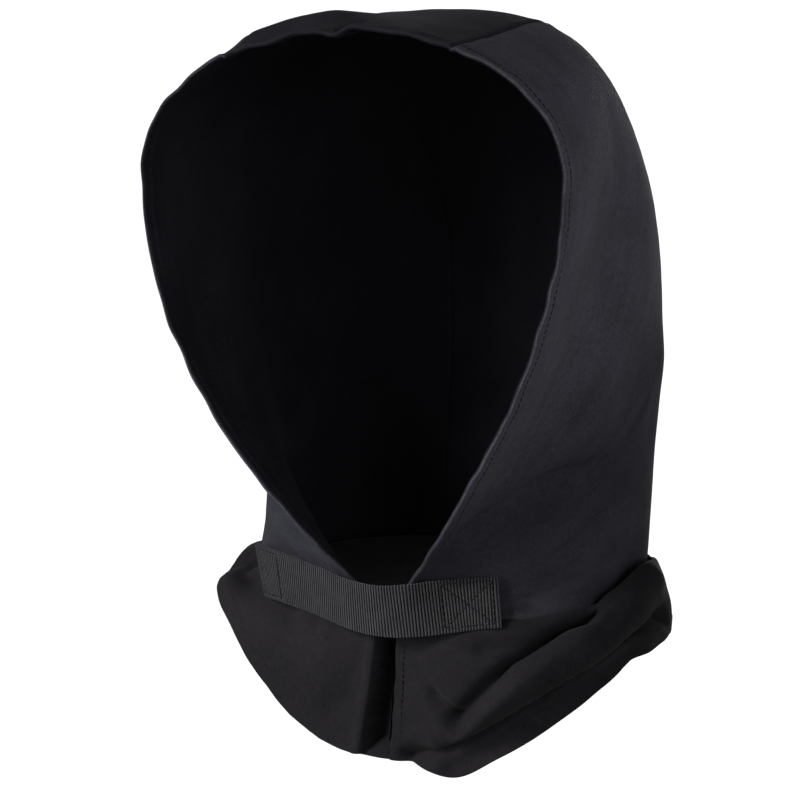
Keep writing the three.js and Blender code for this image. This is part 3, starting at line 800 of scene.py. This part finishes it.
class Material:
    """A node material: add() makes a node, sets or links its inputs and returns it."""

    def __init__(self, name):
        self.data = bpy.data.materials.new(name)
        self.data.use_nodes = True
        self.tree = self.data.node_tree
        self.tree.nodes.clear()

    def add(self, kind, inputs=(), **settings):
        node = self.tree.nodes.new("ShaderNode" + kind)
        for key, value in settings.items():
            setattr(node, key, value)
        for key, value in dict(inputs).items():
            if isinstance(value, bpy.types.NodeSocket):
                self.tree.links.new(value, node.inputs[key])
            else:
                node.inputs[key].default_value = value
        return node

    def cloth(self):
        """The place on the flat cloth, in metres."""
        return self.add("UVMap", uv_map="cloth").outputs[0]

    def math(self, operation, a, b=0.0):
        return self.add("Math", {0: a, 1: b}, operation=operation).outputs[0]

    def range(self, value, low, high, to_low, to_high):
        inputs = {"Value": value, "From Min": low, "From Max": high, "To Min": to_low, "To Max": to_high}
        return self.add("MapRange", inputs).outputs[0]

    def noise(self, vector, scale, detail=3.0, roughness=0.55):
        inputs = {"Vector": vector, "Scale": scale, "Detail": detail, "Roughness": roughness}
        return self.add("TexNoise", inputs).outputs["Fac"]

    def long_noise(self, vector, cells_u, cells_v):
        """Noise with other numbers of cells along u and along v."""
        scaled = self.add("Mapping", {"Vector": vector, "Scale": (cells_u, cells_v, 1)})
        return self.noise(scaled.outputs[0], 1.0, detail=2)

    def mix(self, factor, dark, light):
        node = self.add("Mix", data_type="RGBA")
        for socket, value in ((node.inputs[0], factor), (node.inputs[6], dark), (node.inputs[7], light)):
            if isinstance(value, bpy.types.NodeSocket):
                self.tree.links.new(value, socket)
            else:
                socket.default_value = value
        return node.outputs[2]

    def finish(self, colour, roughness, height, depth, sheen, tint):
        """The cloth's shader; depth is that of its finest relief in millimetres."""
        bump = self.add("Bump", {"Strength": 1.0, "Distance": depth * MM, "Height": height})
        shader = self.add("BsdfPrincipled", {
            "Base Color": colour,
            "Roughness": roughness,
            "Normal": bump.outputs[0],
            "Specular IOR Level": 0.01,
            "Sheen Weight": sheen,
            "Sheen Roughness": 0.45,
            "Sheen Tint": rgba(*tint),
        })
        self.add("OutputMaterial", {"Surface": shader.outputs[0]})
        return self.data


def rgba(red, green, blue):
    return (red, green, blue, 1.0)


def crossing_threads(m, cloth, thread):
    """Plain weave, from -1 to 1, of threads as wide as thread."""
    parts = m.add("SeparateXYZ", {0: cloth}).outputs
    turns = 2 * math.pi / (2 * thread * MM)
    warp = m.math("SINE", m.math("MULTIPLY", parts[0], turns))
    weft = m.math("SINE", m.math("MULTIPLY", parts[1], turns))
    return m.math("MULTIPLY", warp, weft)


def highlight_streaks(m, cloth):
    """Painted highlight streaks down the fan of the flat cloth, as noise from 0 to 1."""
    parts = m.add("SeparateXYZ", {0: cloth}).outputs
    fan = m.math("MULTIPLY", m.math("ARCTAN2", parts[0], parts[1]), STREAK["turn"])
    radius = m.add("VectorMath", {0: cloth}, operation="LENGTH").outputs["Value"]
    reach = m.math("MULTIPLY", radius, STREAK["reach"])
    return m.noise(m.add("CombineXYZ", {0: fan, 1: reach}).outputs[0], 1.0, detail=3)


def painted_light_above_neck(m, place, painted_light):
    """Painted light: how much lighter the cloth is drawn at a place, 1 up to the neck folds and lighter above
    them.
    """
    parts = m.add("SeparateXYZ", {0: place}).outputs
    level = m.math("SUBTRACT", parts[2], m.math("MULTIPLY", parts[1], NECK_FOLD["slope"]))
    return m.range(level, NECK_FOLD["low"] * MM, NECK_FOLD["high"] * MM, 1.0, painted_light)


def woven_material(name, dark, light, thread, sheen, tint, painted_light=1.0):
    """Plain-woven cloth: crossing threads, slubs along them, soft mottling, rubbed places and painted
    highlight streaks.
    The last argument is painted light: how much lighter the cloth is drawn above the neck folds, where the
    light falls."""
    weave_tone, weave_height = 0.24, 0.5
    along, across = CELLS["slub"]
    m = Material(name)
    cloth = m.cloth()
    place = m.add("TexCoord").outputs["Object"]
    weave = crossing_threads(m, cloth, thread)
    slub = m.math("MAXIMUM", m.long_noise(cloth, along, across), m.long_noise(cloth, across, along))
    mottle = m.noise(place, CELLS["mottle"], detail=4)
    rubbed = m.range(m.noise(place, CELLS["rubbed"], detail=2), 0.48, 0.72, 0.0, 0.3)
    # Painted highlight streaks are added to the rubbed places
    rubbed = m.math("ADD", rubbed, m.range(highlight_streaks(m, cloth), 0.35, 0.7, -0.05, 0.12))
    tone = m.math("ADD", m.math("MULTIPLY", weave, weave_tone), m.range(slub, 0.4, 0.75, 0.05, 0.75))
    tone = m.math("ADD", tone, m.range(mottle, 0.3, 0.7, -0.12, 0.16))
    tone = m.math("ADD", tone, rubbed)
    colour = m.mix(tone, rgba(*dark), rgba(*light))
    # Painted light: the colour is scaled up above the neck folds
    colour_with_painted_light = m.add("VectorMath", {0: colour, "Scale": painted_light_above_neck(m, place, painted_light)}, operation="SCALE")
    roughness = m.range(mottle, 0.3, 0.7, 0.72, 0.9)
    height = m.math("ADD", m.math("MULTIPLY", weave, weave_height), slub)
    return m.finish(colour_with_painted_light.outputs[0], roughness, height, BUMP["cloth"], sheen, tint)


def webbing_material(name):
    """Ribbed webbing: lighter ribs, painted shade in the gaps between them, and threads along the ribs."""
    thread_height = 0.6
    m = Material(name)
    cloth = m.cloth()
    run = m.add("SeparateXYZ", {0: cloth}).outputs[0]
    wave = m.math("SINE", m.math("MULTIPLY", run, math.pi / (WEB_RIB["pitch"] * MM)))
    # The tone falls to near black between the ribs: painted shade in the gaps
    rib = m.range(m.math("ABSOLUTE", wave), 0.4, 0.95, 0.0, 0.9)
    threads = m.long_noise(cloth, *CELLS["webbing"])
    worn = m.noise(cloth, CELLS["worn"], detail=3)
    tone = m.math("MULTIPLY", rib, m.range(threads, 0.3, 0.7, 0.6, 1.1))
    tone = m.math("MULTIPLY", tone, m.range(worn, 0.3, 0.7, 0.8, 1.15))
    colour = m.mix(tone, rgba(0.001, 0.001, 0.0011), rgba(0.0256, 0.0243, 0.0261))
    roughness = m.range(threads, 0.3, 0.7, 0.5, 0.7)
    height = m.math("ADD", m.math("MULTIPLY", threads, thread_height), rib)
    return m.finish(colour, roughness, height, BUMP["webbing"], sheen=0.15, tint=PALE_SHEEN)


def thread_material(name):
    """Twisted sewing thread: fine slanting plies with lighter and darker stitches."""
    ply_tone = 0.2
    m = Material(name)
    cloth = m.cloth()
    parts = m.add("SeparateXYZ", {0: cloth}).outputs
    slant = m.math("ADD", parts[0], parts[1])
    ply = m.math("SINE", m.math("MULTIPLY", slant, 2 * math.pi / (PLY * MM)))
    shade = m.noise(cloth, CELLS["thread"], detail=2)
    tone = m.math("ADD", m.math("MULTIPLY", ply, ply_tone), m.range(shade, 0.3, 0.7, 0.3, 0.8))
    colour = m.mix(tone, rgba(0.0008, 0.0008, 0.001), rgba(0.0032, 0.0032, 0.0036))
    roughness = m.range(shade, 0.3, 0.7, 0.45, 0.65)
    return m.finish(colour, roughness, ply, BUMP["thread"], sheen=0.1, tint=PALE_SHEEN)


# Pieces

# The hood's cloth carries painted light, lighter above the neck folds
hood_cloth = woven_material(
    "hood_cloth", dark=(0.0072, 0.0072, 0.0092), light=(0.0208, 0.0208, 0.0263),
    thread=HOOD_THREAD, sheen=0.015, tint=COOL_SHEEN, painted_light=2.15,
)
# The crown's cloth is a darker copy of the hood's cloth, without its painted light: painted shade on the
# crown
crown_cloth_painted_shade = woven_material(
    "crown_cloth_painted_shade", dark=(0.006, 0.006, 0.0077), light=(0.0172, 0.0172, 0.0217),
    thread=HOOD_THREAD, sheen=0.012, tint=COOL_SHEEN,
)
# The inside face is a darker copy of the hood's cloth: painted shade inside the hood
hood_inside_painted_shade = woven_material(
    "hood_inside_painted_shade", dark=(0.0034, 0.0034, 0.0045), light=(0.0098, 0.0098, 0.0128),
    thread=HOOD_THREAD, sheen=0.01, tint=COOL_SHEEN,
)
bib_cloth = woven_material(
    "bib_cloth", dark=(0.0039, 0.0036, 0.0041), light=(0.0094, 0.0087, 0.0099),
    thread=BIB_THREAD, sheen=0.02, tint=WARM_SHEEN,
)
webbing = webbing_material("webbing")
thread = thread_material("thread")

left, left_hem = side_panel("hood_side_left.cloth", 1, hood_cloth, hood_inside_painted_shade)
right, right_hem = side_panel("hood_side_right.cloth", -1, hood_cloth, hood_inside_painted_shade)
crown, crown_hem = crown_panel("hood_crown.cloth", crown_cloth_painted_shade, hood_inside_painted_shade)
bib = neck_bib("neck_bib.cloth", bib_cloth)
strap = throat_strap("throat_strap.webbing", webbing)

hem_stitches = stitch_object("face_hem.stitches", [left_hem, crown_hem, right_hem], thread)
pleat_stitches = stitch_object("pleat.stitches", [pleat_line()], thread)
strap_stitches = stitch_object("strap.stitches", [strap_line(line) for line in strap_boxes()], thread)
for piece, slot in ((hem_stitches, "hood_cloth"), (pleat_stitches, "bib_cloth"), (strap_stitches, "webbing")):
    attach(piece, "root")

SIDES = ["hood_side_left", "hood_side_right"]
for piece, node, slot, held, sewn_to in (
    (left, "hood_side_left", "hood_cloth", "stretched", ["hood_crown"]),
    (right, "hood_side_right", "hood_cloth", "stretched", ["hood_crown"]),
    (crown, "hood_crown", "hood_cloth", "stretched", SIDES),
    (bib, "neck_bib", "bib_cloth", "gathered", [*SIDES, "hood_crown"]),
    (strap, "throat_strap", "webbing", "hung", [*SIDES, "neck_bib"]),
):
    width, length, area = cut_size(piece)
    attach(piece, "root")
    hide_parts(node)


# Studio

# Places and sizes are in metres here, and directions in degrees.
# The surround is white all round and dark overhead and below: direction from, to; brightness from, to
SURROUND = 1.1
SKY_FADES = [(0.12, 0.35, SURROUND, 0.0), (-0.5, -0.05, 0.1, 1.0)]
FLOOR = {"drop": 0.5, "size": 400}
SOFT_BOX = {"size": 0.12, "spread": 75}
CAMERA = {"place": (0.4255, -0.7688, -0.0629), "azimuth": 30, "elevation": 8, "sensor": 36, "lens": 81}


def floor_object():
    """Pale floor, as bright as the surround, that throws no light back up at the cloth."""
    half = FLOOR["size"] / 2
    level = cad_box[0].z - FLOOR["drop"]
    mesh = bpy.data.meshes.new("floor")
    corners = [(-half, -half, level), (half, -half, level), (half, half, level), (-half, half, level)]
    mesh.from_pydata(corners, [], [(0, 1, 2, 3)])
    m = Material("floor")
    shader = m.add("Emission", {"Color": rgba(1, 1, 1), "Strength": SURROUND})
    m.add("OutputMaterial", {"Surface": shader.outputs[0]})
    mesh.materials.append(m.data)
    floor = bpy.data.objects.new("floor", mesh)
    floor.visible_diffuse = False
    bpy.context.scene.collection.objects.link(floor)
    return floor


def direction(azimuth, elevation):
    """Direction away from the part: azimuth 0 is on the face side and 90 on the wearer's left."""
    turn, rise = math.radians(azimuth), math.radians(elevation)
    return Vector((math.sin(turn) * math.cos(rise), -math.cos(turn) * math.cos(rise), math.sin(rise)))


def light_object(name, data, aim):
    """A light that shines along aim."""
    light = bpy.data.objects.new(name, data)
    light.rotation_mode = "QUATERNION"
    light.rotation_quaternion = aim.to_track_quat("-Z", "Y")
    bpy.context.scene.collection.objects.link(light)
    return light


def soft_sun(name, azimuth, elevation, spread, strength):
    """Even light over the whole stage."""
    data = bpy.data.lights.new(name, "SUN")
    data.angle = math.radians(spread)
    data.energy = strength
    light_object(name, data, -direction(azimuth, elevation))


def soft_box(name, place, target, power):
    """Small soft light close to the object, with its beam kept to what it is aimed at."""
    data = bpy.data.lights.new(name, "AREA")
    data.size = SOFT_BOX["size"]
    data.spread = math.radians(SOFT_BOX["spread"])
    data.energy = power
    light = light_object(name, data, Vector(target) - Vector(place))
    light.location = place
    light.visible_camera = False


def surround():
    """White world whose brightness is the product of its fades."""
    world = bpy.data.worlds.new("studio")
    world.use_nodes = True
    nodes, links = world.node_tree.nodes, world.node_tree.links
    place = nodes.new("ShaderNodeTexCoord")
    parts = nodes.new("ShaderNodeSeparateXYZ")
    links.new(place.outputs["Generated"], parts.inputs[0])
    product = nodes.new("ShaderNodeMath")
    product.operation = "MULTIPLY"
    for limits, factor in zip(SKY_FADES, product.inputs):
        fade = nodes.new("ShaderNodeMapRange")
        for key, value in zip(("From Min", "From Max", "To Min", "To Max"), limits):
            fade.inputs[key].default_value = value
        links.new(parts.outputs["Z"], fade.inputs["Value"])
        links.new(fade.outputs[0], factor)
    links.new(product.outputs[0], nodes["Background"].inputs["Strength"])
    nodes["Background"].inputs["Color"].default_value = rgba(1, 1, 1)
    return world


def studio():
    """Surround, low soft lights, a small light for the bib and the strap, and the floor."""
    bpy.context.scene.view_settings.view_transform = "Standard"
    bpy.context.scene.world = surround()
    soft_sun("key", azimuth=-38, elevation=6, spread=40, strength=5.4)
    soft_sun("fill", azimuth=60, elevation=8, spread=50, strength=2.6)
    soft_sun("back", azimuth=195, elevation=3, spread=35, strength=2.2)
    soft_box("chest", place=(-0.18, -0.38, -0.05), target=(0.02, -0.08, -0.33), power=0.7)
    floor_object()


def photo_camera():
    """Camera at the photo's viewing angle: in front, a little above and toward the wearer's left."""
    turn = math.radians(CAMERA["azimuth"])
    right = Vector((math.cos(turn), math.sin(turn), 0))
    back = direction(CAMERA["azimuth"], CAMERA["elevation"])
    axes = Matrix((right, back.cross(right), back)).transposed()
    data = bpy.data.cameras.new("camera")
    data.sensor_width = CAMERA["sensor"]
    data.lens = CAMERA["lens"]
    camera = bpy.data.objects.new("camera", data)
    camera.matrix_world = Matrix.Translation(CAMERA["place"]) @ axes.to_4x4()
    bpy.context.scene.collection.objects.link(camera)
    bpy.context.scene.camera = camera


studio()
photo_camera()
